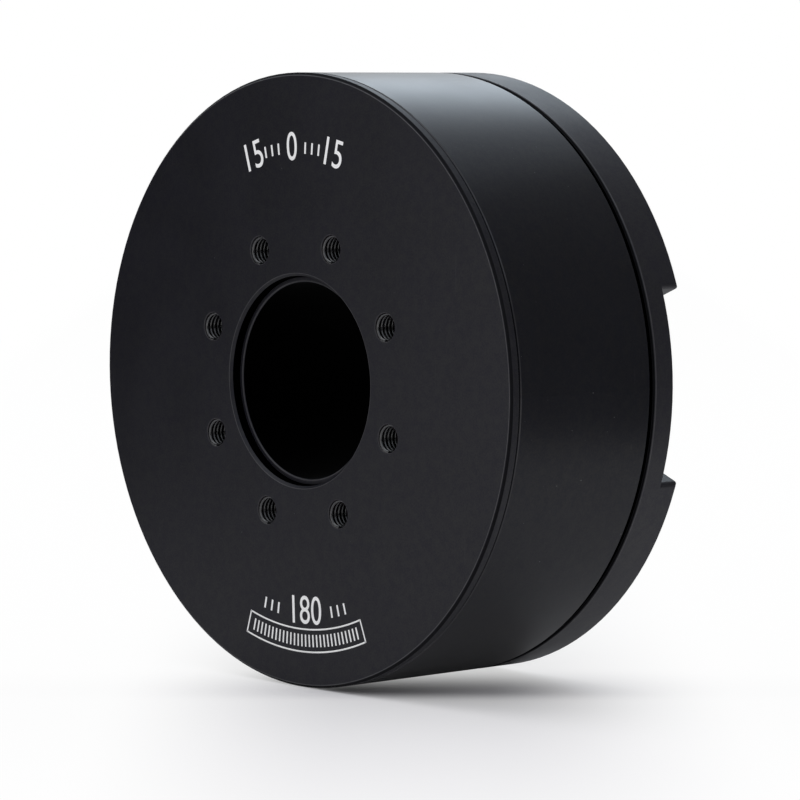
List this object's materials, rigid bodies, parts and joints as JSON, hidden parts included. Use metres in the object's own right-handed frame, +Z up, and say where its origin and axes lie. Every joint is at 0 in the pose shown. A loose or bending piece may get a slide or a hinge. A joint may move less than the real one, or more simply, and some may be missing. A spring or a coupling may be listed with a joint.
{
  "type": "robot joint actuator",
  "caption": "Hollow-shaft outer-rotor direct-drive joint actuator: drum and threaded output flange turn on a fixed rear base ring with a connector notch.",
  "frame": {"origin": "centre of the rear mounting face, on the shaft axis", "axes": "shaft along Y, output face towards -Y, rear mounting face towards +Y, connector notch towards +X, +Z up"},
  "size_m": [0.13, 0.0512, 0.13],
  "materials": {
    "anodised_shell": "bead-blasted black anodised aluminium",
    "rotor_drum": "satin black oxide on turned steel",
    "machined_aluminium": "fine turned",
    "bearing_steel": "ground and polished",
    "spring_steel": "blued",
    "blackened_steel": "black oxide",
    "magnet_nickel": "nickel plated",
    "encoder_magnet": "bonded magnet compound",
    "lamination_steel": "stacked laminations",
    "insulator_plastic": "moulded, matt",
    "cage_plastic": "moulded, matt",
    "copper_winding": "enamelled wire",
    "lead_insulation": "silicone sleeve",
    "circuit_board": "solder mask",
    "chip_plastic": "moulded package",
    "capacitor_can": "drawn can",
    "connector_plastic": "moulded, matt",
    "signal_plastic": "moulded, matt",
    "contact_gold": "gold plated",
    "gasket_rubber": "cut sheet",
    "pad_rubber": "soft filled silicone"
  },
  "bodies": {
    "base": {"base_housing": "anodised_shell", "bearing_carrier": "machined_aluminium", "carrier_screws": "blackened_steel", "front_bearing_outer_ring": "bearing_steel", "rear_bearing_outer_ring": "bearing_steel", "preload_spring": "spring_steel", "stator_core": "lamination_steel", "rear_slot_insulator": "insulator_plastic", "front_slot_insulator": "insulator_plastic", "coils_phase_u": "copper_winding", "coils_phase_v": "copper_winding", "coils_phase_w": "copper_winding", "phase_leads": "lead_insulation", "shaft_liner": "anodised_shell", "liner_screws": "blackened_steel", "rear_cover": "anodised_shell", "cover_gasket": "gasket_rubber", "cover_screws": "blackened_steel", "driver_board": "circuit_board", "board_screws": "blackened_steel", "thermal_pad": "pad_rubber", "power_transistors": "chip_plastic", "capacitors": "capacitor_can", "controller_chip": "chip_plastic", "encoder_sensor_chip": "chip_plastic", "power_connector": "connector_plastic", "power_pins": "contact_gold", "signal_connectors": "signal_plastic", "signal_pins": "contact_gold"},
    "rotor": {"output_flange": "anodised_shell", "rotor_yoke": "rotor_drum", "magnets_north": "magnet_nickel", "magnets_south": "magnet_nickel", "front_bearing_inner_ring": "bearing_steel", "rear_bearing_inner_ring": "bearing_steel", "bearing_spacer": "machined_aluminium", "hub_lock_nut": "blackened_steel", "encoder_magnet_carrier": "machined_aluminium", "encoder_magnet_ring": "encoder_magnet"},
    "front_cage_set": {"front_bearing_cage": "cage_plastic", "front_bearing_balls": "bearing_steel"},
    "rear_cage_set": {"rear_bearing_cage": "cage_plastic", "rear_bearing_balls": "bearing_steel"}
  },
  "joints": [
    {"name": "output_spin", "type": "hinge", "parent": "base", "child": "rotor", "pos_m": [0, -0.0512, 0], "axis": [0, -1, 0], "continuous": true},
    {"name": "front_cage_spin", "type": "hinge", "parent": "base", "child": "front_cage_set", "pos_m": [0, -0.0382, 0], "axis": [0, -1, 0], "continuous": true},
    {"name": "rear_cage_spin", "type": "hinge", "parent": "base", "child": "rear_cage_set", "pos_m": [0, -0.0188, 0], "axis": [0, -1, 0], "continuous": true}
  ],
  "couplings": [
    {"joint": "front_cage_spin", "follows": "output_spin", "ratio": 0.46522},
    {"joint": "rear_cage_spin", "follows": "output_spin", "ratio": 0.46522}
  ]
}
